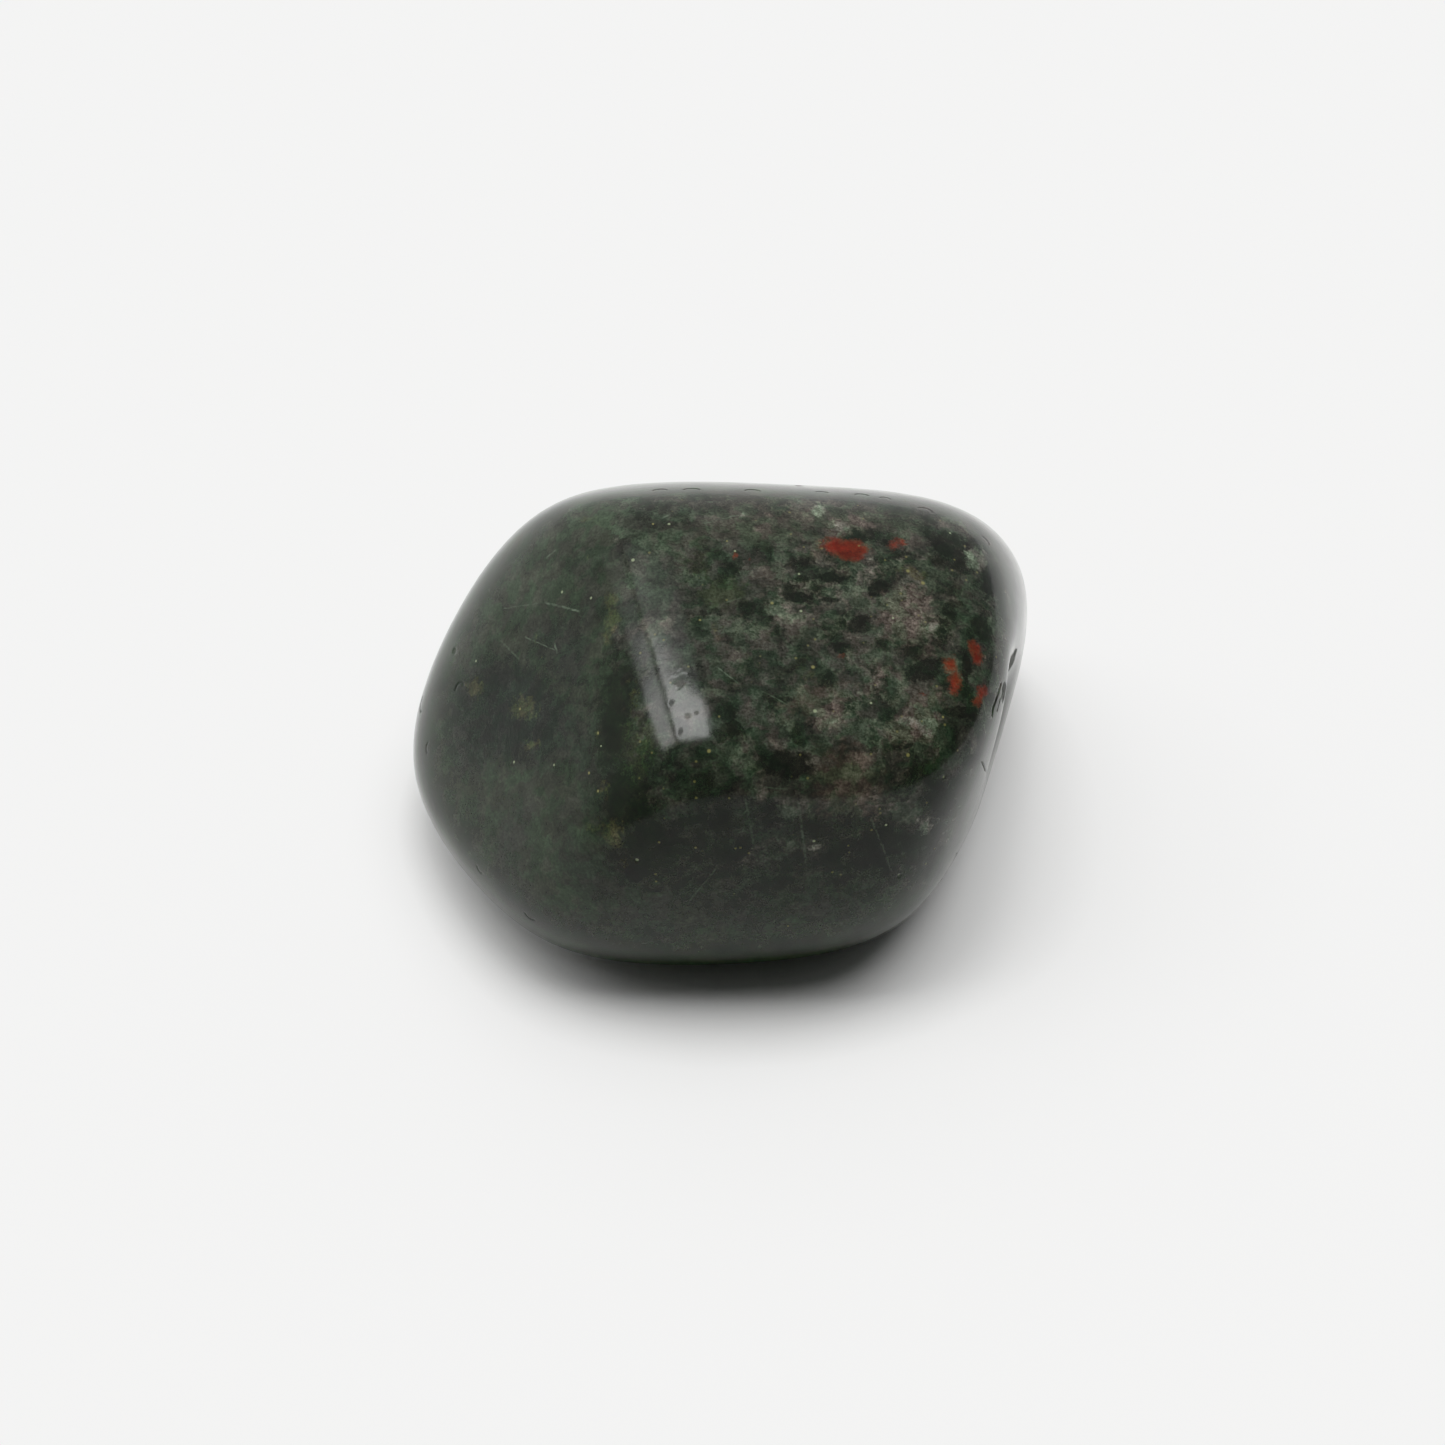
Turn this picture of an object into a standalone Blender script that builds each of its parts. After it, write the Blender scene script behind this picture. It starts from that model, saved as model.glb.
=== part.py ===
# Tumbled bloodstone: one polished pebble of dark green chalcedony.
# Metres, +Z up, +X along the stone. The origin is on the ground, under the middle of the stone.

import math

import bmesh
import bpy
from mathutils import Vector, noise

STONE_NAME = "bloodstone"
COLLECTION_NAME = "Tumbled bloodstone"

# The worn faces the stone was ground to: heading and tilt in degrees, and how far
# each plane stands from the middle. Heading 0 is +X, 90 is +Y, and tilt 90 is up.
WORN_FACES = (
    (0, -90, 0.0092),       # base it lies on
    (-50, 80, 0.0091),      # crown
    (202, 41, 0.0093),      # long left slope
    (90, 12, 0.0121),       # back
    (86, 52, 0.0111),       # back shoulder
    (96, -36, 0.0134),      # back foot
    (148, 18, 0.0141),      # back left
    (122, 41, 0.0138),      # its shoulder
    (50, 28, 0.0169),       # back right corner
    (26, 12, 0.0202),       # lobe of the right end
    (2, 34, 0.0154),        # right slope
    (-14, -10, 0.0138),     # right end
    (-42, 0, 0.0144),       # front right
    (-52, -42, 0.0137),     # front right foot
    (-90, 2, 0.0114),       # front
    (-80, 26, 0.0124),      # front shoulder
    (-92, -46, 0.0126),     # front foot
    (-135, 12, 0.0134),     # front left
    (-144, -34, 0.0146),    # front left foot
    (176, -4, 0.0163),      # left end
)
WEAR = 10                   # the higher, the sharper the ridges between the worn faces
MIDDLE_HEIGHT = 0.0090      # the base is ground flat this far below the middle

# Hollows: heading and tilt of the spot, half width, depth
HOLLOWS = (
    (-4, 2, 0.0024, 0.0013),    # waist of the right end, under the lobe
    (-3, 12, 0.0013, 0.0004),   # chip over that waist
)

# Slight unevenness of a natural surface
SWELL_LENGTH = 0.0075
SWELL_HEIGHT = 0.00012
SWELL_SEED = Vector((3.1, 7.4, 1.8))

GRID_CUTS = 27            # cuts along each edge of the starting cube

STONE_COLOUR = (0.030, 0.038, 0.026, 1.0)
STONE_ROUGHNESS = 0.14
STONE_IOR = 1.54


def toward(heading, tilt):
    across = math.cos(math.radians(tilt))
    east = across * math.cos(math.radians(heading))
    north = across * math.sin(math.radians(heading))
    return Vector((east, north, math.sin(math.radians(tilt))))


FACE_PLANES = [(toward(heading, tilt), reach) for heading, tilt, reach in WORN_FACES]


def worn_surface(direction):
    # Point of the worn body in this direction from its middle: the planes' box,
    # with every edge rounded over
    total = 0.0
    for normal, reach in FACE_PLANES:
        lean = direction.dot(normal) / reach
        if lean > 0.0:
            total += lean ** WEAR
    return direction * total ** (-1.0 / WEAR)


def hollowed(point):
    moved = point.copy()
    for heading, tilt, half_width, depth in HOLLOWS:
        outward = toward(heading, tilt)
        away = (point - worn_surface(outward)).length
        moved -= outward * depth * math.exp(-(away / half_width) ** 2)
    return moved


def swollen(point, direction):
    swell = noise.noise(point / SWELL_LENGTH + SWELL_SEED)
    return point + direction * SWELL_HEIGHT * swell


def stone_point(corner):
    # The tangent spaces the grid evenly round the sphere
    spread = Vector([math.tan(value * math.pi / 4.0) for value in corner])
    direction = spread.normalized()
    point = swollen(hollowed(worn_surface(direction)), direction)
    point.z = max(point.z + MIDDLE_HEIGHT, 0.0)
    return point


def centre_on_ground(bm):
    for axis in (0, 1):
        values = [vert.co[axis] for vert in bm.verts]
        middle = (min(values) + max(values)) / 2.0
        for vert in bm.verts:
            vert.co[axis] -= middle


def polished_stone():
    material = bpy.data.materials.new("Polished bloodstone")
    material.use_nodes = True
    shader = material.node_tree.nodes["Principled BSDF"]
    shader.inputs["Base Color"].default_value = STONE_COLOUR
    shader.inputs["Roughness"].default_value = STONE_ROUGHNESS
    shader.inputs["Metallic"].default_value = 0.0
    shader.inputs["IOR"].default_value = STONE_IOR
    material.diffuse_color = STONE_COLOUR
    return material


def make_stone(collection):
    bm = bmesh.new()
    bmesh.ops.create_cube(bm, size=2.0)
    bmesh.ops.subdivide_edges(bm, edges=bm.edges[:], cuts=GRID_CUTS, use_grid_fill=True)
    for vert in bm.verts:
        vert.co = stone_point(vert.co)
    centre_on_ground(bm)
    bmesh.ops.recalc_face_normals(bm, faces=bm.faces[:])
    mesh = bpy.data.meshes.new(STONE_NAME)
    bm.to_mesh(mesh)
    bm.free()
    mesh.shade_smooth()
    mesh.materials.append(polished_stone())
    stone = bpy.data.objects.new(STONE_NAME, mesh)
    collection.objects.link(stone)
    return stone


def clear_scene():
    for old in list(bpy.data.objects):
        bpy.data.objects.remove(old, do_unlink=True)


def main():
    clear_scene()
    collection = bpy.data.collections.new(COLLECTION_NAME)
    bpy.context.scene.collection.children.link(collection)
    make_stone(collection)


main()
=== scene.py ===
import math
import bpy
import numpy as np
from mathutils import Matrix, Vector, noise
from mathutils.bvhtree import BVHTree


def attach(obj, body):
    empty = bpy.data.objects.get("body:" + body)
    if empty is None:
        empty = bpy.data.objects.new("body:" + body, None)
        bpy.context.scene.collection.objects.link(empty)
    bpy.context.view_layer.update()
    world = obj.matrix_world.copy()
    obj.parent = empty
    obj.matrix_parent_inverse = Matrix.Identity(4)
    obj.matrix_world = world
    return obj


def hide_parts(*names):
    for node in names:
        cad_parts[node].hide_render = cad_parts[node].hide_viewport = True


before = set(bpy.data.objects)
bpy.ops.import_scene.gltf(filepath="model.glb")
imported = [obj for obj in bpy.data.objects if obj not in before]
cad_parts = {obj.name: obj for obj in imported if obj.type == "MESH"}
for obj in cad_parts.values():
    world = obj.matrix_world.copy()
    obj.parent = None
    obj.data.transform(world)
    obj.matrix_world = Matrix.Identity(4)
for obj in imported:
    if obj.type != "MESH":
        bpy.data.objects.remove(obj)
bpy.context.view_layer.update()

print("frame loaded")

millimetre = 0.001


def deselectAll():
    if bpy.context.mode != "OBJECT":
        bpy.ops.object.mode_set(mode="OBJECT")
    bpy.ops.object.select_all(action="DESELECT")


def toward(heading, tilt):
    # heading 0 is +X and 90 is +Y, tilt 90 is up, all in degrees
    across = math.cos(math.radians(tilt))
    return np.array([across * math.cos(math.radians(heading)),
                     across * math.sin(math.radians(heading)),
                     math.sin(math.radians(tilt))])


def smoothStep(low, high, value):
    part = np.clip((value - low) / (high - low), 0.0, 1.0)
    return part * part * (3.0 - 2.0 * part)


# The camera comes first, because spots are put on the stone by where it sees them
cameraLook = {
    "lens": 85.0,
    "sensor": 36.0,
    "elevation": 50.0,
    "distance": 0.1656,
    "aim": (0.00006, -0.00137, 0.0090),
    "frameSize": 1445,          # pixels across the photo
    "nearest": 0.005,
    "farthest": 20.0,
}


def addCamera():
    data = bpy.data.cameras.new("camera")
    data.lens = cameraLook["lens"]
    data.sensor_width = cameraLook["sensor"]
    data.clip_start = cameraLook["nearest"]
    data.clip_end = cameraLook["farthest"]
    camera = bpy.data.objects.new("camera", data)
    bpy.context.scene.collection.objects.link(camera)
    tilt = math.radians(cameraLook["elevation"])
    back = Vector((0.0, -math.cos(tilt), math.sin(tilt)))
    camera.location = Vector(cameraLook["aim"]) + back * cameraLook["distance"]
    camera.rotation_euler = (math.radians(90.0 - cameraLook["elevation"]), 0.0, 0.0)
    bpy.context.scene.camera = camera
    return camera


camera = addCamera()
tiltOfView = math.radians(cameraLook["elevation"])
eye = np.array(camera.location)
viewAlong = np.array([0.0, math.cos(tiltOfView), -math.sin(tiltOfView)])
viewUp = np.array([0.0, math.sin(tiltOfView), math.cos(tiltOfView)])
viewRight = np.array([1.0, 0.0, 0.0])
halfFrame = cameraLook["frameSize"] / 2.0
pixelsPerSlope = halfFrame / (cameraLook["sensor"] / 2.0 / cameraLook["lens"])
pixelsPerMetre = pixelsPerSlope / cameraLook["distance"]


def pixelsOf(points):
    # where the camera sees each point
    away = points - eye
    depth = away @ viewAlong
    return (halfFrame + pixelsPerSlope * (away @ viewRight) / depth,
            halfFrame - pixelsPerSlope * (away @ viewUp) / depth)


def rayThrough(x, y):
    # from the camera out through a pixel
    ray = viewAlong + viewRight * (x - halfFrame) / pixelsPerSlope
    ray = ray - viewUp * (y - halfFrame) / pixelsPerSlope
    return ray / np.linalg.norm(ray)


print("camera placed")


# The stone's shape
stoneShape = {
    # flat faces it was worn to: heading and tilt in degrees, distance from the middle
    "wornFaces": [
        (0, -90, 0.0092), (-50, 80, 0.0091), (202, 41, 0.0093),         # base, crown, left slope
        (90, 12, 0.0121), (86, 52, 0.0111), (96, -36, 0.0134),          # back, its shoulder and foot
        (148, 18, 0.0141), (122, 41, 0.0138),                           # back left and its shoulder
        (50, 28, 0.0169), (26, 12, 0.0202),                             # back right corner, right lobe
        (2, 34, 0.0154), (-14, -10, 0.0138),                            # right slope and end
        (-42, 0, 0.0144), (-52, -42, 0.0137),                           # front right and its foot
        (-90, 2, 0.0114), (-80, 26, 0.0124), (-92, -46, 0.0126),        # front, shoulder, foot
        (-135, 12, 0.0134), (-144, -34, 0.0146), (176, -4, 0.0163),     # front left, left end
    ],
    "wear": 10,                 # higher is sharper between the faces
    "middleHeight": 0.0090,
    # heading, tilt, half width and depth of the waist in the right end and a chip over it
    "hollows": [(-4, 2, 0.0024, 0.0013), (-3, 12, 0.0013, 0.0004)],
    "swellLength": 0.0075,
    "swellHeight": 0.00012,
    "swellSeed": (3.1, 7.4, 1.8),
    "rippleLength": 0.0016,     # slight unevenness left by tumbling
    "rippleHeight": 0.000010,
    "rippleStart": 0.001,       # height over the ground where the ripple is at its full
    "gridCuts": 95,
    "detailCuts": 3,            # finer squares where the skin is chipped, pitted or cracked
}

# Damage to the polish, all in millimetres. A place is two pixels of the photo,
# or ("side", heading, tilt) where the camera can't see
stoneWear = {
    # the rough chip in the waist of the right end: place, radius, depth
    "chips": [((1010, 664), 0.85, 0.055), ((1004, 692), 0.55, 0.045)],
    # small pits: place, radius, depth
    "pits": [((680, 680), 0.46, 0.010), ((671, 703), 0.20, 0.006), ((687, 716), 0.20, 0.006),
             ((697, 713), 0.15, 0.006), ((681, 732), 0.20, 0.006), ((455, 650), 0.22, 0.030),
             ((899, 876), 0.16, 0.030), ((944, 777), 0.14, 0.030), ((637, 861), 0.18, 0.030),
             (("side", 118, 30), 0.30, 0.050), (("side", 70, 8), 0.24, 0.045),
             (("side", 64, 40), 0.18, 0.035), (("side", 100, -14), 0.34, 0.050),
             (("side", 160, -12), 0.22, 0.040), (("side", 12, -20), 0.26, 0.045),
             (("side", -30, -30), 0.20, 0.035), (("side", 132, 4), 0.16, 0.035),
             (("side", 40, -24), 0.20, 0.040)],
    # crescent cracks of knocks in the tumbler: place, radius, start and sweep in degrees, depth
    "crescents": [((660, 491), 0.34, 20, 150, 0.030), ((692, 491), 0.44, 35, 120, 0.034),
                  ((753, 492), 0.40, 30, 130, 0.030), ((822, 493), 0.30, 20, 140, 0.026),
                  ((862, 496), 0.36, 30, 130, 0.032), ((885, 499), 0.26, 10, 150, 0.028),
                  ((925, 511), 0.34, 0, 150, 0.028), ((985, 541), 0.26, -20, 140, 0.024),
                  ((423, 702), 0.50, 110, 130, 0.036), ((429, 748), 0.30, 110, 120, 0.026),
                  ((958, 862), 0.34, -70, 120, 0.030), ((941, 885), 0.28, -80, 120, 0.026),
                  ((530, 915), 0.32, 200, 120, 0.026), ((480, 868), 0.26, 190, 120, 0.024),
                  (("side", 80, 26), 0.46, 20, 140, 0.034), (("side", 108, 10), 0.36, 160, 130, 0.030),
                  (("side", 128, 24), 0.30, 60, 150, 0.028), (("side", 60, -6), 0.40, 240, 130, 0.032),
                  (("side", 180, 4), 0.34, 30, 140, 0.028), (("side", 170, -26), 0.30, 100, 130, 0.028),
                  (("side", -8, -24), 0.34, 300, 130, 0.030)],
    # open cracks, each a run of pixels, with half width and depth
    "cracks": [([(982, 762), (985, 770), (986, 780), (984, 789)], 0.045, 0.07),
               ([(1001, 684), (997, 697), (993, 708), (992, 716)], 0.050, 0.08),
               ([(1004, 690), (1000, 700), (997, 711)], 0.035, 0.06)],
}

# How the damage looks close to: lengths in millimetres, the rest shares of a place's radius,
# and how dull each kind is left, which also darkens its colour there as painted shade
wearLook = {
    "flake": 0.42, "fineFlake": 0.17, "flakeHeight": 0.9, "fineFlakeHeight": 0.5, "deepestFlake": 1.6,
    "chipRagged": 0.60, "chipRaggedBy": 0.35, "chipReach": 1.4,
    "pitRagged": 0.30, "pitRaggedBy": 0.9, "pitReach": 1.6, "pitDullAndShade": 0.7,
    "crescentHalfWidth": 0.045, "crescentDullAndShade": 0.8, "crescentPieces": 9,
    "crackReach": 3.0,
    # the finer squares go this far past each kind of damage
    "roundMargin": 0.16, "crescentMargin": 0.22, "crackMargin": 0.26,
}


def wornReach(directions):
    # how far the worn body reaches from its middle, with every edge rounded over
    total = np.zeros(len(directions))
    for heading, tilt, reach in stoneShape["wornFaces"]:
        lean = np.clip(directions @ toward(heading, tilt), 0.0, None) / reach
        total += lean ** stoneShape["wear"]
    return total ** (-1.0 / stoneShape["wear"])


def noiseAt(points, length, seed=(0.0, 0.0, 0.0)):
    shift = Vector(seed)
    return np.array([noise.noise(Vector(point) / length + shift) for point in points])


def bodyPoints(cubeCorners):
    # the tangent spaces the cube's squares evenly round the stone
    spread = np.tan(cubeCorners * math.pi / 4.0)
    directions = spread / np.linalg.norm(spread, axis=1)[:, None]
    worn = directions * wornReach(directions)[:, None]
    points = worn.copy()
    for heading, tilt, halfWidth, depth in stoneShape["hollows"]:
        outward = toward(heading, tilt)
        centre = outward * wornReach(outward[None, :])[0]
        away = np.linalg.norm(worn - centre, axis=1)
        points -= outward * (depth * np.exp(-(away / halfWidth) ** 2))[:, None]
    swell = noiseAt(points, stoneShape["swellLength"], stoneShape["swellSeed"])
    ripple = noiseAt(points, stoneShape["rippleLength"])
    points += directions * (stoneShape["swellHeight"] * swell)[:, None]
    points[:, 2] += stoneShape["middleHeight"]
    ripple *= smoothStep(0.0, stoneShape["rippleStart"], points[:, 2])
    points += directions * (stoneShape["rippleHeight"] * ripple)[:, None]
    points[:, 2] = np.maximum(points[:, 2], 0.0)
    return points


def readCorners(mesh):
    corners = np.empty(len(mesh.vertices) * 3)
    mesh.vertices.foreach_get("co", corners)
    return corners.reshape(-1, 3)


def polygonsOf(mesh):
    return [tuple(polygon.vertices) for polygon in mesh.polygons]


edgeSteps = 15              # tries for a pixel that lies just off the stone
edgeSlide = 0.01            # share of the way to the middle that it moves each time


def placeOn(skin, spot):
    # a pixel just off the edge slides in until it is on the stone
    x, y = spot[-2:]
    for step in range(edgeSteps):
        if spot[0] == "side":
            start = np.array([0.0, 0.0, stoneShape["middleHeight"]])
            ray = toward(x, y)
        else:
            start, ray = eye, rayThrough(x, y)
        hit, normal, index, reach = skin.ray_cast(Vector(start), Vector(ray))
        if hit is not None:
            break
        x += (halfFrame - x) * edgeSlide
        y += (halfFrame - y) * edgeSlide
    else:
        raise ValueError("nothing of the stone is at " + str(spot))
    normal = np.array(normal)
    if spot[0] != "side" and normal @ ray > 0.0:
        normal = -normal
    return np.array(hit), normal


def tangentsAt(normal):
    # across and up the skin, as near the camera's own as the skin allows
    across = viewRight - normal * (viewRight @ normal)
    if np.linalg.norm(across) < 0.2:        # the skin faces sideways
        across = np.cross(viewUp, normal)
    across /= np.linalg.norm(across)
    return across, np.cross(normal, across)


def crescentPoints(skin, spot, radius, start, sweep):
    # an arc round the spot, laid on the skin
    centre, normal = placeOn(skin, spot)
    across, upward = tangentsAt(normal)
    pieces = wearLook["crescentPieces"]
    landed = []
    for step in range(pieces):
        turn = math.radians(start + sweep * step / (pieces - 1))
        aside = across * math.cos(turn) + upward * math.sin(turn)
        point = centre + aside * radius * millimetre
        landed.append(np.array(skin.find_nearest(Vector(point))[0]))
    return centre, landed


def distanceToRun(points, run):
    # from every point to the nearest stretch of a run of points
    nearest = np.full(len(points), 1.0)
    for first, second in zip(run[:-1], run[1:]):
        along = second - first
        part = np.clip(((points - first) @ along) / (along @ along), 0.0, 1.0)
        away = np.linalg.norm(points - first - part[:, None] * along, axis=1)
        nearest = np.minimum(nearest, away)
    return nearest


def distanceTo(points, centre):
    return np.linalg.norm(points - centre, axis=1)


def keepDeepest(wear, near, depth, dullAndShade):
    wear["depth"][near] = np.maximum(wear["depth"][near], depth)
    wear["dullAndShade"][near] = np.maximum(wear["dullAndShade"][near], dullAndShade)


def cutChip(wear, points, skin, spot, radius, deep):
    look = wearLook
    away = distanceTo(points, placeOn(skin, spot)[0]) / (radius * millimetre)
    near = away < look["chipReach"]
    coarse = noiseAt(points[near], look["flake"] * millimetre, (4.0, 1.0, 7.0))
    fine = noiseAt(points[near], look["fineFlake"] * millimetre, (2.0, 6.0, 3.0))
    flakes = 0.5 + look["flakeHeight"] * coarse + look["fineFlakeHeight"] * fine
    ragged = noiseAt(points[near], look["chipRagged"] * millimetre, (9.0, 2.0, 5.0))
    inside = smoothStep(1.05, 0.75, away[near] + look["chipRaggedBy"] * ragged)
    cut = deep * millimetre * inside * np.clip(flakes, 0.0, look["deepestFlake"])
    keepDeepest(wear, near, cut, inside)


def cutPit(wear, points, skin, spot, radius, deep):
    look = wearLook
    away = distanceTo(points, placeOn(skin, spot)[0])
    near = away < radius * look["pitReach"] * millimetre
    ragged = noiseAt(points[near], look["pitRagged"] * millimetre, (1.0, 3.0, 8.0))
    rim = radius * millimetre * (1.0 + look["pitRaggedBy"] * ragged)
    bowl = smoothStep(1.05, 0.40, away[near] / rim)
    keepDeepest(wear, near, deep * millimetre * bowl, look["pitDullAndShade"] * bowl)


def cutGroove(wear, points, near, run, halfWidth, deep, dullAndShade):
    away = distanceToRun(points[near], run) / (halfWidth * millimetre)
    groove = np.exp(-away ** 2)
    keepDeepest(wear, near, deep * millimetre * groove, dullAndShade * groove)


def cutCrescent(wear, points, skin, spot, radius, start, sweep, deep):
    centre, run = crescentPoints(skin, spot, radius, start, sweep)
    near = distanceTo(points, centre) < radius * 2.0 * millimetre
    cutGroove(wear, points, near, run, wearLook["crescentHalfWidth"], deep, wearLook["crescentDullAndShade"])


def cutCrack(wear, points, skin, places, halfWidth, deep):
    run = [placeOn(skin, spot)[0] for spot in places]
    near = distanceTo(points, run[1]) < wearLook["crackReach"] * millimetre
    cutGroove(wear, points, near, run, halfWidth, deep, 1.0)


def wearOf(points, skin):
    # how deep each point is cut in, and how dull it is left, which also darkens its colour as painted
    # shade
    wear = {"depth": np.zeros(len(points)), "dullAndShade": np.zeros(len(points))}
    ways = {"chips": cutChip, "pits": cutPit, "crescents": cutCrescent, "cracks": cutCrack}
    for kind, cut in ways.items():
        for marks in stoneWear[kind]:
            cut(wear, points, skin, *marks)
    return wear


def facesNearWear(centres, skin):
    near = np.zeros(len(centres), dtype=bool)
    for spot, radius, deep in stoneWear["chips"] + stoneWear["pits"]:
        reach = (radius * 1.2 + wearLook["roundMargin"]) * millimetre
        near |= distanceTo(centres, placeOn(skin, spot)[0]) < reach
    for spot, radius, start, sweep, deep in stoneWear["crescents"]:
        centre, run = crescentPoints(skin, spot, radius, start, sweep)
        near |= distanceToRun(centres, run) < wearLook["crescentMargin"] * millimetre
    for places, halfWidth, deep in stoneWear["cracks"]:
        run = [placeOn(skin, spot)[0] for spot in places]
        near |= distanceToRun(centres, run) < wearLook["crackMargin"] * millimetre
    return near


def cutFiner(mesh, chosen):
    # subdivides the chosen faces of the object in hand
    bpy.ops.object.mode_set(mode="EDIT")
    bpy.ops.mesh.select_mode(type="FACE")
    bpy.ops.mesh.select_all(action="DESELECT")
    bpy.ops.object.mode_set(mode="OBJECT")
    mesh.polygons.foreach_set("select", chosen)
    bpy.ops.object.mode_set(mode="EDIT")
    bpy.ops.mesh.subdivide(number_cuts=stoneShape["detailCuts"])
    bpy.ops.object.mode_set(mode="OBJECT")


def moveCorners(mesh, points):
    mesh.vertices.foreach_set("co", points.ravel())
    mesh.update()


def makeStone():
    deselectAll()
    bpy.ops.mesh.primitive_cube_add(size=2.0, location=(0, 0, 0))
    stone = bpy.context.object
    stone.name = "polishedStone"
    bpy.ops.object.mode_set(mode="EDIT")
    bpy.ops.mesh.select_all(action="SELECT")
    bpy.ops.mesh.subdivide(number_cuts=stoneShape["gridCuts"])
    bpy.ops.object.mode_set(mode="OBJECT")
    mesh = stone.data
    points = bodyPoints(readCorners(mesh))
    middle = (points.min(axis=0) + points.max(axis=0)) / 2.0
    middle[2] = 0.0
    points -= middle
    skin = BVHTree.FromPolygons([Vector(point) for point in points], polygonsOf(mesh))
    centres = np.array([points[list(polygon.vertices)].mean(axis=0) for polygon in mesh.polygons])
    cutFiner(mesh, facesNearWear(centres, skin))
    points = bodyPoints(readCorners(mesh)) - middle
    moveCorners(mesh, points)
    normals = np.empty(len(mesh.vertices) * 3)
    mesh.vertex_normals.foreach_get("vector", normals)
    wear = wearOf(points, skin)
    points -= normals.reshape(-1, 3) * wear["depth"][:, None]
    moveCorners(mesh, points)
    deselectAll()
    stone.select_set(True)
    bpy.context.view_layer.objects.active = stone
    bpy.ops.object.shade_smooth()
    return stone, points, wear["dullAndShade"], skin


stone, stonePoints, dullnessAndShade, skin = makeStone()
print("stone shaped,", len(stonePoints), "points")


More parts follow.
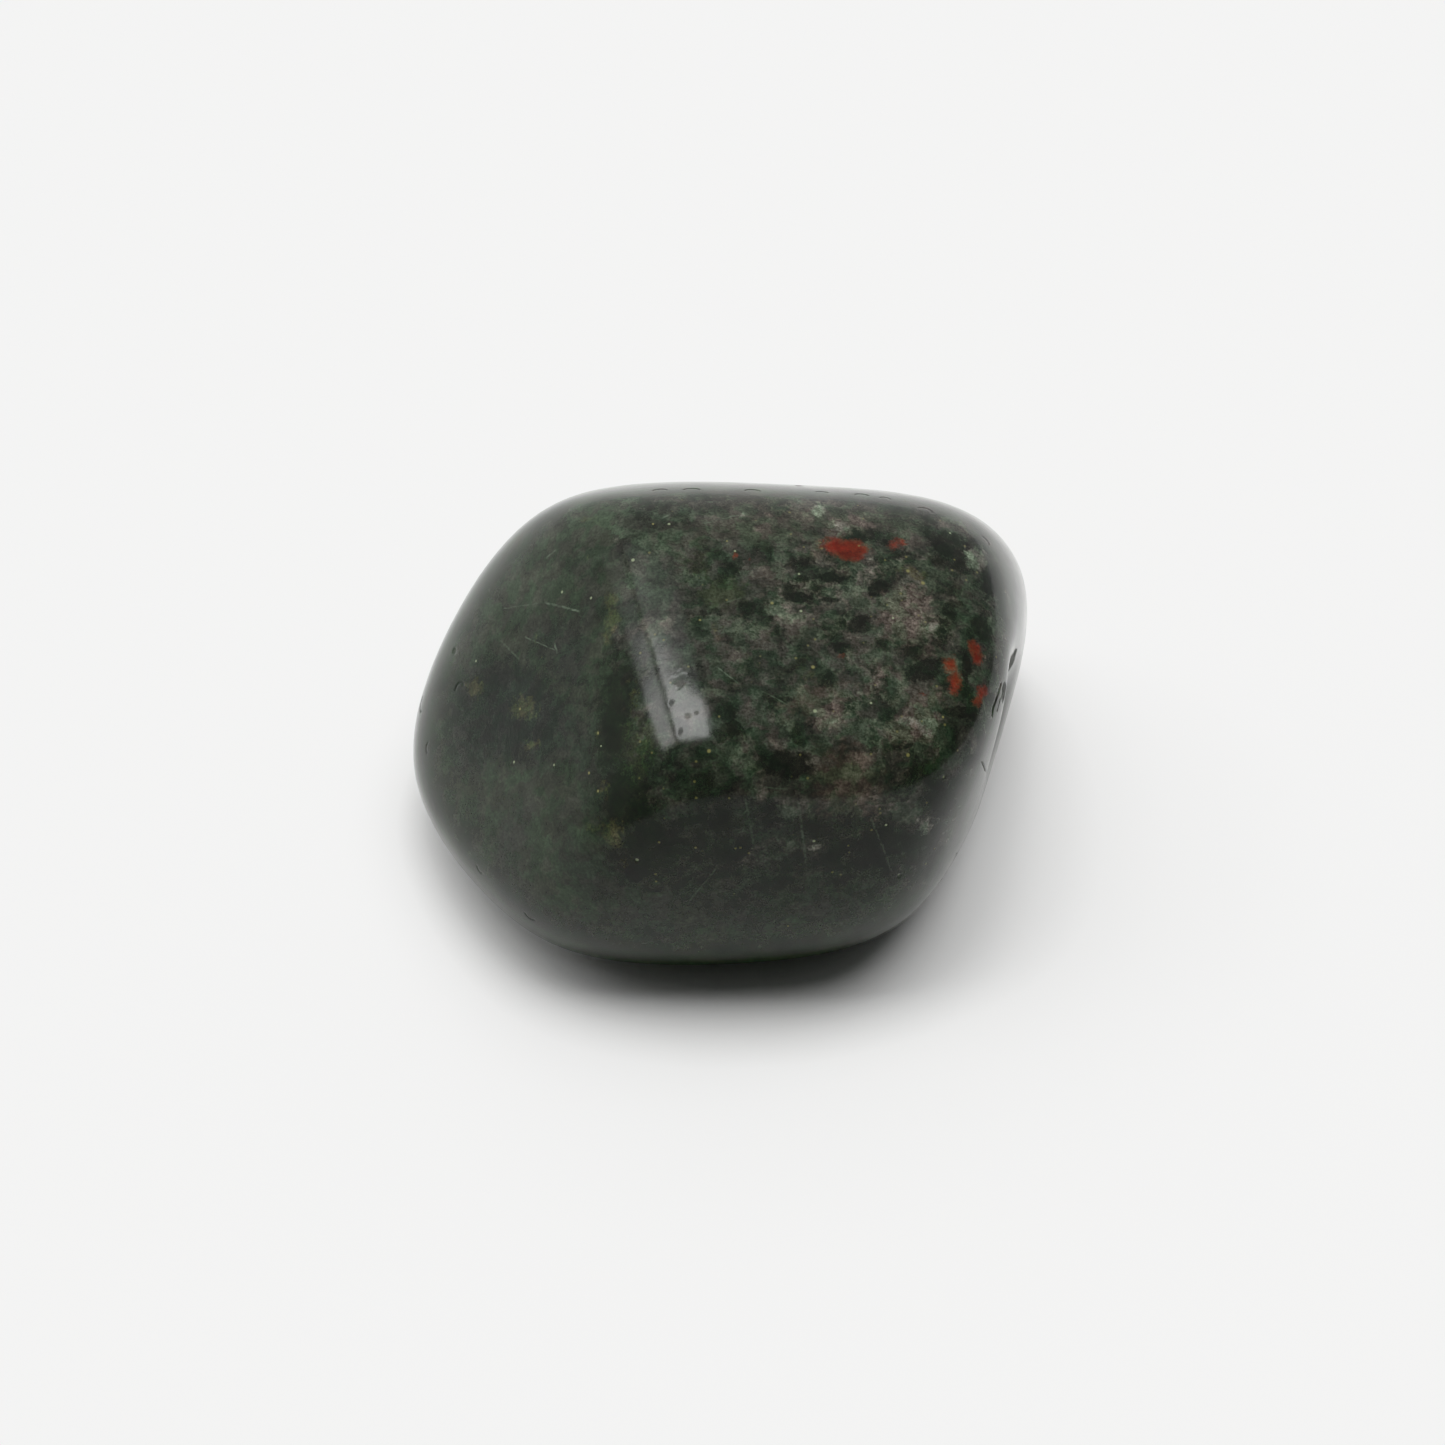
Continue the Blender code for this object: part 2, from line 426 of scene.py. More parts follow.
# The stone's markings
# Each blot is x, y, half width, half height and turn in degrees, in the photo's pixels,
# and how strong it is. Blots on the hidden sides are heading, tilt, radius in mm, strength
stoneMarks = {
    "lilac": {
        "seen": [(908, 614, 27, 30, 15, 1.0), (914, 727, 25, 15, -15, 1.2), (829, 718, 18, 14, -20, 1.0),
                 (839, 528, 14, 11, 0, 1.0), (858, 522, 20, 9, 10, 0.9), (884, 668, 18, 15, 0, 0.6),
                 (815, 514, 16, 12, 20, 0.7), (790, 505, 20, 7, -10, 0.5), (930, 650, 16, 12, 0, 0.6),
                 (852, 655, 12, 16, 20, 0.45), (870, 690, 26, 12, 0, 0.5), (865, 800, 22, 22, 0, 0.5),
                 (843, 572, 10, 9, 0, 0.7), (940, 690, 18, 10, 0, 0.4), (800, 690, 20, 12, 30, 0.35)],
        "hidden": [(62, 34, 2.0, 0.8), (100, 22, 1.6, 0.6), (30, -8, 1.8, 0.7), (78, -18, 2.2, 0.7),
                   (118, -2, 1.4, 0.5), (-20, -28, 1.6, 0.5), (60, 66, 1.6, 0.5)],
    },
    "brown": {
        "seen": [(846, 782, 38, 44, 0, 0.9), (815, 700, 40, 20, -15, 0.8), (812, 556, 26, 12, 0, 0.5),
                 (745, 640, 30, 14, 0, 0.35), (722, 640, 26, 12, 0, 0.45), (930, 698, 36, 16, 0, 0.7),
                 (818, 548, 12, 14, 0, 0.8), (760, 590, 22, 10, -10, 0.4), (632, 830, 14, 20, 0, 0.4)],
        "hidden": [(70, 6, 3.0, 0.7), (40, 30, 2.2, 0.5), (96, 40, 2.4, 0.5), (20, -26, 2.2, 0.6),
                   (110, -20, 2.4, 0.5)],
    },
    "pale": {
        "seen": [(818, 510, 8, 8, 0, 1.0), (840, 527, 10, 7, 0, 0.95), (975, 558, 13, 15, -20, 0.85),
                 (925, 825, 9, 12, 0, 0.8), (828, 804, 9, 5, -20, 0.6), (814, 848, 12, 5, -10, 0.7),
                 (828, 724, 12, 6, -15, 0.6), (927, 727, 11, 10, 0, 1.0), (906, 722, 12, 7, 0, 0.8),
                 (931, 627, 7, 6, 0, 0.8),
                 (742, 515, 9, 5, -15, 0.6), (630, 541, 9, 9, 0, 0.35), (983, 657, 3, 6, 0, 0.9),
                 (870, 559, 4, 4, 0, 0.8), (843, 568, 6, 5, 0, 0.5), (822, 700, 8, 6, 0, 0.35)],
        "hidden": [(84, 18, 0.6, 0.9), (52, 10, 0.5, 0.8), (104, 30, 0.5, 0.7), (70, -10, 0.7, 0.8),
                   (24, -4, 0.5, 0.8), (10, -30, 0.5, 0.6)],
    },
    "olive": {
        "seen": [(612, 600, 7, 8, 0, 1.0), (613, 619, 8, 14, 10, 1.0), (475, 687, 10, 10, 0, 1.0),
                 (524, 708, 15, 15, 0, 0.85), (532, 746, 14, 9, 0, 0.6), (614, 834, 12, 15, 0, 0.9),
                 (540, 640, 12, 8, 30, 0.45), (590, 520, 16, 8, 20, 0.5), (505, 800, 14, 10, 0, 0.4),
                 (600, 822, 9, 10, 0, 0.4), (632, 700, 12, 30, 0, 0.5), (606, 640, 8, 12, 0, 0.6),
                 (718, 628, 20, 10, -10, 0.5), (915, 574, 16, 6, 28, 0.9), (806, 672, 12, 10, 0, 0.6),
                 (590, 560, 10, 10, 0, 0.4), (598, 735, 6, 20, 0, 0.5), (604, 790, 9, 18, 0, 0.6),
                 (640, 745, 10, 16, 0, 0.5), (628, 862, 12, 8, 0, 0.6), (592, 826, 9, 9, 0, 0.6)],
        "hidden": [(150, 24, 1.2, 0.6), (128, 34, 1.0, 0.6), (170, -14, 1.2, 0.6), (90, 30, 1.0, 0.6)],
    },
    "inky": {
        "seen": [(798, 597, 15, 5, 3, 1.0), (831, 600, 10, 3, 5, 0.9), (860, 624, 13, 10, 0, 1.0),
                 (889, 614, 11, 7, -20, 0.8), (834, 577, 18, 6, 0, 0.9), (955, 548, 28, 14, 25, 0.9),
                 (990, 582, 9, 20, 0, 0.9), (800, 563, 20, 10, 0, 0.7), (905, 553, 26, 9, 0, 0.5),
                 (880, 588, 16, 10, -30, 0.8), (925, 670, 24, 12, -20, 0.9), (966, 667, 6, 22, 0, 0.8),
                 (880, 690, 20, 8, 0, 0.6), (960, 712, 26, 7, 0, 0.8), (772, 618, 10, 7, 0, 0.6),
                 (900, 745, 26, 8, -12, 0.6), (942, 800, 14, 26, 0, 0.8), (846, 820, 22, 16, 0, 0.6),
                 (788, 764, 36, 20, 0, 0.74), (870, 850, 44, 22, 0, 0.7), (636, 873, 12, 9, 0, 1.0),
                 (765, 812, 30, 20, 20, 0.7), (718, 612, 12, 8, 0, 0.6), (785, 645, 26, 12, 10, 0.5),
                 (735, 690, 16, 9, 30, 0.5), (705, 610, 14, 14, 0, 0.5), (840, 648, 14, 9, 0, 0.7)],
        "hidden": [(60, 20, 1.2, 0.9), (76, 42, 1.4, 0.8), (90, 2, 1.8, 0.9), (50, -14, 1.6, 0.8),
                   (110, 16, 1.2, 0.7), (20, -14, 1.4, 0.8), (120, -26, 1.8, 0.7), (-10, -34, 1.2, 0.6)],
    },
    "moss": {
        "seen": [(722, 594, 26, 16, -15, 0.9), (700, 565, 20, 26, 0, 0.6), (770, 625, 24, 16, 0, 0.4),
                 (640, 745, 26, 40, 0, 0.7), (745, 665, 26, 20, 0, 0.4), (610, 560, 30, 24, 0, 0.3),
                 (930, 770, 26, 16, 0, 0.4), (700, 700, 14, 30, 0, 0.3), (710, 770, 30, 20, 0, 0.4)],
        "hidden": [(100, 50, 2.6, 0.7), (40, 4, 2.6, 0.7), (84, -28, 2.6, 0.6), (66, 54, 2.2, 0.6)],
    },
    "deep": {
        "seen": [(617, 715, 18, 62, 6, 1.0), (628, 800, 26, 56, 4, 1.0), (650, 850, 44, 36, 0, 1.0),
                 (700, 850, 70, 46, 0, 0.75), (700, 790, 46, 30, 0, 0.5), (860, 850, 76, 40, 0, 0.75),
                 (770, 880, 90, 36, 0, 0.55), (800, 765, 34, 20, 0, 0.3), (930, 790, 22, 40, 0, 0.5)],
        "hidden": [(126, 12, 2.2, 0.9), (134, -16, 2.4, 0.9), (112, 36, 1.8, 0.7)],
    },
    "veins": {
        "seen": [(825, 600, 60, 46, 0, 1.0), (905, 600, 46, 50, 20, 1.0), (870, 690, 60, 40, 0, 0.8),
                 (790, 515, 70, 16, -8, 0.9), (930, 640, 40, 40, 0, 0.7), (850, 800, 60, 50, 0, 0.6),
                 (750, 610, 30, 24, 0, 0.5)],
        "hidden": [(60, 20, 3.0, 0.8), (84, 44, 2.6, 0.8), (30, -12, 2.6, 0.6), (100, 4, 2.4, 0.6)],
    },
    "slate": {
        "seen": [(506, 712, 62, 50, 10, 1.0), (560, 668, 30, 34, 0, 0.6), (470, 745, 30, 40, 0, 0.6)],
        "hidden": [(165, -16, 3.0, 0.8), (140, 30, 2.6, 0.7)],
    },
    # lighter grey green, partly the stone's own tone and partly painted sheen on the upper left of the
    # plain part
    "sageAndSheen": {
        "seen": [(560, 530, 46, 30, -40, 1.0), (530, 585, 44, 34, -40, 0.8), (600, 505, 50, 20, 0, 0.9),
                 (478, 640, 34, 40, 30, 0.6), (450, 700, 22, 40, 20, 0.4), (600, 580, 26, 40, 0, 0.4),
                 (540, 790, 50, 30, 20, 0.5), (560, 860, 60, 26, 20, 0.4), (640, 585, 46, 40, 0, 0.6),
                 (660, 540, 40, 26, 0, 0.6)],
        "hidden": [(140, 44, 4.0, 0.8), (160, 8, 3.0, 0.5)],
    },
    "haze": {
        "seen": [(760, 527, 70, 18, 0, 1.0), (870, 518, 60, 14, 5, 1.0), (690, 500, 50, 12, 0, 0.7),
                 (950, 585, 30, 20, 30, 0.5), (700, 540, 40, 20, 0, 0.5)],
        "hidden": [(80, 60, 3.0, 0.8), (20, 20, 2.4, 0.7)],
    },
    "red": {
        "seen": [(851, 550, 16, 10, 4, 1.0), (836, 546, 14, 9, 0, 0.78), (824, 543, 9, 7, 0, 0.58),
                 (898, 544, 12, 8, -10, 0.54), (950, 664, 9, 12, 10, 0.60), (955, 682, 8, 16, -8, 0.66),
                 (974, 648, 7, 10, -25, 0.72), (978, 657, 7, 10, 0, 0.68), (982, 691, 7, 9, 0, 0.66),
                 (977, 701, 7, 8, 30, 0.60), (735, 556, 4, 5, 0, 0.58), (841, 656, 4, 4, 0, 0.55),
                 (924, 694, 6, 5, 0, 0.52), (749, 559, 3, 3, 0, 0.5)],
        "hidden": [(58, 26, 0.60, 0.9), (61, 24, 0.45, 0.8), (55, 29, 0.35, 0.7), (74, 12, 0.40, 0.8),
                   (76, 10, 0.30, 0.7), (66, -6, 0.40, 0.85), (63, -8, 0.35, 0.7), (104, 30, 0.35, 0.7),
                   (16, -22, 0.50, 0.9), (19, -25, 0.35, 0.8), (13, -20, 0.30, 0.7), (34, 16, 0.30, 0.7),
                   (92, -22, 0.50, 0.8), (96, -20, 0.40, 0.7), (-24, -32, 0.35, 0.7)],
    },
}


# How the blots fade, and where the broken part of the stone begins: lengths in metres,
# and pixels of the photo for the plain foot of the front
markShape = {
    "fade": 0.69,               # a blot has half its strength at its half width
    "gate": 0.0016,             # this far past twice its half width a blot ends, so that
    "gateSoft": 1.3,            # none comes out again on the far side
    "brokenFrom": -0.0048,
    "brokenWander": (0.0010, 0.004),
    "brokenSoft": 0.0008,
    "frontFrom": (-0.0040, -0.0080),
    "footFrom": (920.0, 850.0),
    "footWander": (12.0, 0.003),
}


def blotStrength(points, skin, seen, hidden):
    # a soft field that is strongest in the middle of a blot
    field = np.zeros(len(points))
    x, y = pixelsOf(points)
    for blotX, blotY, halfWidth, halfHeight, turn, strength in seen:
        centre = placeOn(skin, (blotX, blotY))[0]
        swing = math.radians(turn)
        along = (x - blotX) * math.cos(swing) + (y - blotY) * math.sin(swing)
        over = (y - blotY) * math.cos(swing) - (x - blotX) * math.sin(swing)
        square = (along / halfWidth) ** 2 + (over / halfHeight) ** 2
        gate = 2.0 * max(halfWidth, halfHeight) / pixelsPerMetre + markShape["gate"]
        away = distanceTo(points, centre)
        blot = np.exp(-markShape["fade"] * square) * smoothStep(gate * markShape["gateSoft"], gate, away)
        field = np.maximum(field, strength * blot)
    for heading, tilt, radius, strength in hidden:
        centre = placeOn(skin, ("side", heading, tilt))[0]
        away = distanceTo(points, centre) / (radius * millimetre)
        field = np.maximum(field, strength * np.exp(-markShape["fade"] * away ** 2))
    return field


def brokenRegion(points):
    # the stone is plain at the left and broken into cells at the right; the foot of the
    # front is plain as well
    shape = markShape
    by, length = shape["brokenWander"]
    edge = points[:, 0] - shape["brokenFrom"] + by * noiseAt(points, length, (5.0, 5.0, 1.0))
    region = smoothStep(-shape["brokenSoft"], shape["brokenSoft"], edge)
    front = smoothStep(*shape["frontFrom"], points[:, 1])
    by, length = shape["footWander"]
    y = pixelsOf(points)[1] + by * noiseAt(points, length, (2.0, 8.0, 4.0))
    return region * (1.0 - front * (1.0 - smoothStep(*shape["footFrom"], y)))


def addField(mesh, name, values):
    field = mesh.attributes.new(name=name, type="FLOAT", domain="POINT")
    field.data.foreach_set("value", np.ascontiguousarray(values, dtype=np.float32))


def markStone(stone, points, dullAndShade, skin):
    mesh = stone.data
    addField(mesh, "broken", brokenRegion(points))
    # the dull field roughens the polish and darkens the colour as painted shade in chips, pits, crescents
    # and cracks
    addField(mesh, "dullAndShade", dullAndShade)
    for name, blots in stoneMarks.items():
        addField(mesh, name, blotStrength(points, skin, blots["seen"], blots["hidden"]))


markStone(stone, stonePoints, dullnessAndShade, skin)
print("markings laid out")


# Small helpers for wiring materials
def feed(tree, socket, value):
    if isinstance(value, bpy.types.NodeSocket):
        tree.links.new(value, socket)
    elif isinstance(value, (tuple, list)) and len(value) == 3 and socket.type == "RGBA":
        socket.default_value = (*value, 1.0)
    else:
        socket.default_value = value


def maths(tree, operation, first, second=0.0, clamp=False):
    node = tree.nodes.new("ShaderNodeMath")
    node.operation = operation
    node.use_clamp = clamp
    for socket, value in zip(node.inputs, (first, second)):
        feed(tree, socket, value)
    return node.outputs[0]


def vectors(tree, operation, first, second=None, scale=None):
    node = tree.nodes.new("ShaderNodeVectorMath")
    node.operation = operation
    feed(tree, node.inputs[0], first)
    if second is not None:
        feed(tree, node.inputs[1], second)
    if scale is not None:
        feed(tree, node.inputs["Scale"], scale)
    single = operation in ("DOT_PRODUCT", "LENGTH", "DISTANCE")
    return node.outputs["Value" if single else "Vector"]


def ease(tree, value, low, high, toLow=0.0, toHigh=1.0):
    # value runs smoothly from toLow at low to toHigh at high
    node = tree.nodes.new("ShaderNodeMapRange")
    node.interpolation_type = "SMOOTHSTEP"
    ends = (("From Min", low), ("From Max", high), ("To Min", toLow), ("To Max", toHigh))
    for name, number in (("Value", value), *ends):
        feed(tree, node.inputs[name], number)
    return node.outputs["Result"]


def blend(tree, amount, under, over):
    node = tree.nodes.new("ShaderNodeMix")
    node.data_type = "RGBA"
    feed(tree, node.inputs[0], amount)
    feed(tree, node.inputs[6], under)
    feed(tree, node.inputs[7], over)
    return node.outputs[2]


def brighten(tree, colour, factor):
    return vectors(tree, "SCALE", colour, scale=factor)


def cloud(tree, vector, scale, detail=2.0, roughness=0.5, colour=False):
    node = tree.nodes.new("ShaderNodeTexNoise")
    tree.links.new(vector, node.inputs["Vector"])
    node.inputs["Scale"].default_value = scale
    node.inputs["Detail"].default_value = detail
    node.inputs["Roughness"].default_value = roughness
    return node.outputs["Color" if colour else "Fac"]


def cells(tree, vector, scale, feature="F1"):
    node = tree.nodes.new("ShaderNodeTexVoronoi")
    node.feature = feature
    tree.links.new(vector, node.inputs["Vector"])
    node.inputs["Scale"].default_value = scale
    return node


def product(tree, *factors):
    result = factors[0]
    for factor in factors[1:]:
        result = maths(tree, "MULTIPLY", result, factor)
    return result


def fieldOf(tree, name):
    node = tree.nodes.new("ShaderNodeAttribute")
    node.attribute_name = name
    return node.outputs["Fac"]


# Polished bloodstone
bloodstoneLook = {
    "roughness": 0.13,
    "ior": 1.54,
    "shine": 0.44,              # 0.5 mirrors as much as the ior says
    "plainGreen": (0.029, 0.038, 0.025),
    "plainGrey": (0.024, 0.029, 0.022),
    "plainDark": (0.014, 0.019, 0.013),
    "slate": (0.0145, 0.0185, 0.0150),
    # lighter grey green, partly painted sheen
    "sageAndSheen": (0.042, 0.052, 0.037),
    "cellInk": (0.010, 0.0135, 0.0085),
    "cellGreen": (0.022, 0.029, 0.021),
    "cellMid": (0.037, 0.041, 0.033),
    "cellGrey": (0.060, 0.059, 0.048),
    "seam": (0.094, 0.093, 0.075),
    "haze": (0.040, 0.042, 0.032),
    "lilac": (0.112, 0.102, 0.084),
    "lilacShade": (0.046, 0.041, 0.034),
    "brown": (0.064, 0.057, 0.045),
    "pale": (0.170, 0.184, 0.148),
    "olive": (0.066, 0.070, 0.034),
    "moss": (0.022, 0.032, 0.016),
    "deep": (0.0035, 0.0066, 0.0022),
    "inky": (0.0090, 0.0110, 0.0080),
    "red": (0.105, 0.0095, 0.0040),
    "redBrown": (0.105, 0.030, 0.019),
    "healed": (0.100, 0.130, 0.092),
    "speck": (0.260, 0.300, 0.190),
    "speckGold": (0.200, 0.190, 0.080),
    "bendBy": 1.1,              # how far the patterns are pushed about, in millimetres
    "crinkleBy": 0.45,
    "bumpStrength": 0.10,
    "bumpHeight": 0.00003,
}
# How fine each pattern in the stone is, in turns to a millimetre
patternScale = {
    "plainCloud": 0.42, "plainDapple": 1.3,
    "cell": 0.8, "smallCell": 2.0, "cellPick": 0.7, "seamPatch": 0.55, "seamGap": 0.8, "seamGrain": 5.0,
    "drift": 0.85, "patch": 2.0, "grain": 8.0, "warmth": 1.2,
    "bend": 0.9, "crinkle": 4.0, "ragged": 2.6, "grit": 12.0,
    "lilac": 4.5, "dust": 2.7, "healed": 4.0, "polish": 1.7, "bump": 5.0,
}
# Markings laid over the ground one after the other: field, where its edge begins and ends,
# how ragged that is, and the most that it covers
markLayers = [
    ("sageAndSheen", 0.15, 0.90, 0.5, 0.85),
    ("slate", 0.25, 0.80, 0.8, 0.85),
    ("haze", 0.25, 0.85, 1.0, 0.75),
    ("deep", 0.12, 0.85, 1.1, 0.85),
    ("moss", 0.35, 0.75, 1.2, 0.7),
    ("brown", 0.35, 0.85, 1.3, 0.75),
    ("inky", 0.42, 0.62, 0.8, 0.9),
]

# Healed cracks, thin pale lines: start and end in pixels, half width in mm, strength
healedLines = [
    ((544, 602), (581, 612), 0.045, 0.9), ((501, 609), (540, 603), 0.030, 0.4),
    ((545, 559), (557, 549), 0.050, 0.9), ((523, 636), (557, 651), 0.028, 0.6),
    ((554, 642), (558, 655), 0.055, 0.8), ((702, 524), (743, 514), 0.035, 0.6),
    ((704, 502), (722, 502), 0.045, 0.6), ((713, 664), (740, 685), 0.035, 0.8),
    ((756, 688), (790, 706), 0.035, 0.5), ((724, 603), (743, 597), 0.032, 0.5),
    ((660, 519), (672, 514), 0.045, 0.7), ((760, 786), (790, 790), 0.030, 0.4),
    ((738, 818), (752, 806), 0.035, 0.4), ((744, 792), (754, 846), 0.060, 0.30),
    ((798, 800), (806, 864), 0.060, 0.35), ((688, 902), (718, 866), 0.050, 0.30),
    ((870, 815), (892, 872), 0.050, 0.30), ((520, 660), (500, 640), 0.040, 0.40),
]
# Lone bright grains: x and y in pixels, radius in mm
brightGrains = {
    "white": [(562, 592, 0.07), (633, 560, 0.09), (476, 661, 0.06), (591, 598, 0.07), (514, 762, 0.07),
              (554, 765, 0.06), (601, 746, 0.05), (815, 711, 0.09), (735, 551, 0.06), (801, 611, 0.07),
              (799, 574, 0.06), (950, 533, 0.06), (893, 618, 0.06), (944, 777, 0.07), (886, 825, 0.07),
              (814, 841, 0.07), (899, 875, 0.06), (669, 524, 0.07), (871, 703, 0.06), (637, 860, 0.09)],
    "gold": [(520, 709, 0.07), (598, 733, 0.07), (589, 773, 0.07), (598, 791, 0.07), (709, 751, 0.09),
             (772, 603, 0.08), (813, 667, 0.09), (908, 755, 0.09), (788, 926, 0.05), (653, 524, 0.06),
             (943, 717, 0.06), (923, 583, 0.10), (908, 571, 0.09), (700, 620, 0.06), (727, 541, 0.05)],
}


def addSockets(group, vectorNames, numberNames):
    for name in vectorNames:
        group.interface.new_socket(name=name, in_out="INPUT", socket_type="NodeSocketVector")
    for name in numberNames:
        group.interface.new_socket(name=name, in_out="INPUT", socket_type="NodeSocketFloat")
    group.interface.new_socket(name="Amount", in_out="OUTPUT", socket_type="NodeSocketFloat")


def lineGroup():
    # one healed crack: a thin sheet through the stone, so it follows the skin
    group = bpy.data.node_groups.new("healedLine", "ShaderNodeTree")
    addSockets(group, ("Point", "Start", "Along", "Across"), ("Length", "HalfWidth", "Strength", "Wobble"))
    given = group.nodes.new("NodeGroupInput").outputs
    result = group.nodes.new("NodeGroupOutput")
    away = vectors(group, "SUBTRACT", given["Point"], given["Start"])
    along = vectors(group, "DOT_PRODUCT", away, given["Along"])
    across = maths(group, "ADD", vectors(group, "DOT_PRODUCT", away, given["Across"]), given["Wobble"])
    aside = maths(group, "DIVIDE", maths(group, "ABSOLUTE", across), given["HalfWidth"])
    thin = ease(group, aside, 0.4, 1.6, 1.0, 0.0)
    starts = ease(group, along, 0.0, 0.25)
    ends = ease(group, maths(group, "SUBTRACT", given["Length"], along), 0.0, 0.25)
    farthest = maths(group, "ADD", given["Length"], 0.6)
    near = maths(group, "LESS_THAN", vectors(group, "LENGTH", away), farthest)
    amount = product(group, thin, starts, ends, near, given["Strength"])
    group.links.new(amount, result.inputs["Amount"])
    return group


def grainGroup():
    # one bright grain: a soft dot
    group = bpy.data.node_groups.new("brightGrain", "ShaderNodeTree")
    addSockets(group, ("Point", "Centre"), ("Radius",))
    given = group.nodes.new("NodeGroupInput").outputs
    result = group.nodes.new("NodeGroupOutput")
    away = vectors(group, "DISTANCE", given["Point"], given["Centre"])
    away = maths(group, "DIVIDE", away, given["Radius"])
    group.links.new(ease(group, away, 0.5, 1.3, 1.0, 0.0), result.inputs["Amount"])
    return group


def groupAmount(tree, group, values):
    node = tree.nodes.new("ShaderNodeGroup")
    node.node_tree = group
    for name, value in values.items():
        feed(tree, node.inputs[name], value)
    return node.outputs["Amount"]


def strongest(tree, amounts):
    result = amounts[0]
    for amount in amounts[1:]:
        result = maths(tree, "MAXIMUM", result, amount)
    return result


def healedLineAmount(tree, point, wobble, skin):
    group = lineGroup()
    amounts = []
    for start, end, halfWidth, strength in healedLines:
        first, normal = placeOn(skin, start)
        along = placeOn(skin, end)[0] - first
        length = np.linalg.norm(along)
        along = along / length
        across = np.cross(normal, along)
        across /= np.linalg.norm(across)
        amounts.append(groupAmount(tree, group, {
            "Point": point, "Start": tuple(first / millimetre), "Along": tuple(along),
            "Across": tuple(across), "Length": float(length / millimetre),
            "HalfWidth": halfWidth, "Strength": strength, "Wobble": wobble,
        }))
    return strongest(tree, amounts)


def grainAmount(tree, group, point, grains, skin):
    amounts = []
    for x, y, radius in grains:
        centre = tuple(placeOn(skin, (x, y))[0] / millimetre)
        amounts.append(groupAmount(tree, group, {"Point": point, "Centre": centre, "Radius": radius}))
    return strongest(tree, amounts)


def plainGround(tree, point):
    # grey green, faintly clouded
    look = bloodstoneLook
    clouds = ease(tree, cloud(tree, point, patternScale["plainCloud"], 4.0), 0.38, 0.62)
    ground = blend(tree, clouds, look["plainGreen"], look["plainGrey"])
    dapples = ease(tree, cloud(tree, point, patternScale["plainDapple"], 3.0), 0.46, 0.72, 0.0, 0.55)
    return blend(tree, dapples, ground, look["plainDark"])


def seamLines(tree, warped, scale, widest):
    # 1 along the seams of the cells, 0 inside them
    edges = cells(tree, warped, scale, "DISTANCE_TO_EDGE").outputs["Distance"]
    return ease(tree, edges, 0.02, widest, 1.0, 0.0)


def brokenGround(tree, point, warped):
    # dark cells and grey brown patches, with faint grainy seams between
    look = bloodstoneLook
    scale = patternScale
    large = cells(tree, warped, scale["cell"])
    pick = maths(tree, "MULTIPLY", cloud(tree, point, scale["cellPick"], 4.0, 0.6), 1.2)
    pick = maths(tree, "ADD", pick, maths(tree, "MULTIPLY", large.outputs["Color"], 0.40))
    ground = blend(tree, ease(tree, pick, 0.55, 0.78), look["cellInk"], look["cellGreen"])
    ground = blend(tree, ease(tree, pick, 0.70, 0.92), ground, look["cellMid"])
    ground = blend(tree, ease(tree, pick, 0.92, 1.15), ground, look["cellGrey"])
    veins = ease(tree, fieldOf(tree, "veins"), 0.15, 0.8, 0.0, 0.55)
    patchy = ease(tree, cloud(tree, point, scale["seamPatch"], 3.0), 0.46, 0.66, 0.0, 0.45)
    patchy = maths(tree, "ADD", patchy, veins, clamp=True)
    seams = product(tree, seamLines(tree, warped, scale["cell"], 0.20), patchy)
    gaps = ease(tree, cloud(tree, point, scale["seamGap"], 3.0), 0.42, 0.62, 0.1, 0.9)
    small = product(tree, seamLines(tree, warped, scale["smallCell"], 0.22), product(tree, patchy, gaps))
    grains = ease(tree, cloud(tree, point, scale["seamGrain"], 3.0, 0.7), 0.38, 0.62, 0.15, 1.0)
    seams = product(tree, maths(tree, "MAXIMUM", seams, small), grains)
    return blend(tree, seams, ground, look["seam"])


def mottled(tree, pattern, ground, broken):
    # lighter and darker, greener and browner from place to place, most where it is broken
    scale = patternScale
    point, warped = pattern["point"], pattern["warped"]
    least = ease(tree, broken, 0.0, 1.0, 0.80, 0.69)
    most = ease(tree, broken, 0.0, 1.0, 1.22, 1.34)
    drift = ease(tree, cloud(tree, warped, scale["drift"], 3.0), 0.34, 0.66, least, most)
    patches = ease(tree, cloud(tree, warped, scale["patch"], 4.0, 0.65), 0.32, 0.68, least, most)
    grains = ease(tree, cloud(tree, point, scale["grain"], 3.0, 0.7), 0.34, 0.68, least, most)
    ground = brighten(tree, ground, product(tree, drift, patches, grains))
    warmth = ease(tree, cloud(tree, warped, scale["warmth"], 3.0), 0.42, 0.58)
    tint = blend(tree, warmth, (0.92, 1.07, 0.93), (1.08, 0.98, 1.00))
    return vectors(tree, "MULTIPLY", ground, tint)


def pushed(tree, start, point, scale, roughness, amount):
    # moves the points about, so that a pattern on them is bent
    shove = cloud(tree, point, scale, 3.0, roughness, colour=True)
    shove = vectors(tree, "SUBTRACT", shove, (0.5, 0.5, 0.5))
    return vectors(tree, "ADD", start, vectors(tree, "SCALE", shove, scale=amount))


def stonePattern(tree):
    # what every layer of the stone's colour is made from
    look = bloodstoneLook
    scale = patternScale
    place = tree.nodes.new("ShaderNodeTexCoord").outputs["Object"]
    point = vectors(tree, "SCALE", place, scale=1.0 / millimetre)
    bent = pushed(tree, point, point, scale["bend"], 0.5, look["bendBy"])
    warped = pushed(tree, bent, point, scale["crinkle"], 0.6, look["crinkleBy"])
    ragged = maths(tree, "SUBTRACT", cloud(tree, point, scale["ragged"], 4.0, 0.6), 0.5)
    grit = cloud(tree, point, scale["grit"], 2.0, 0.6)
    broken = ease(tree, maths(tree, "ADD", fieldOf(tree, "broken"), ragged), 0.2, 0.8)
    return {"point": point, "warped": warped, "ragged": ragged, "grit": grit, "broken": broken}


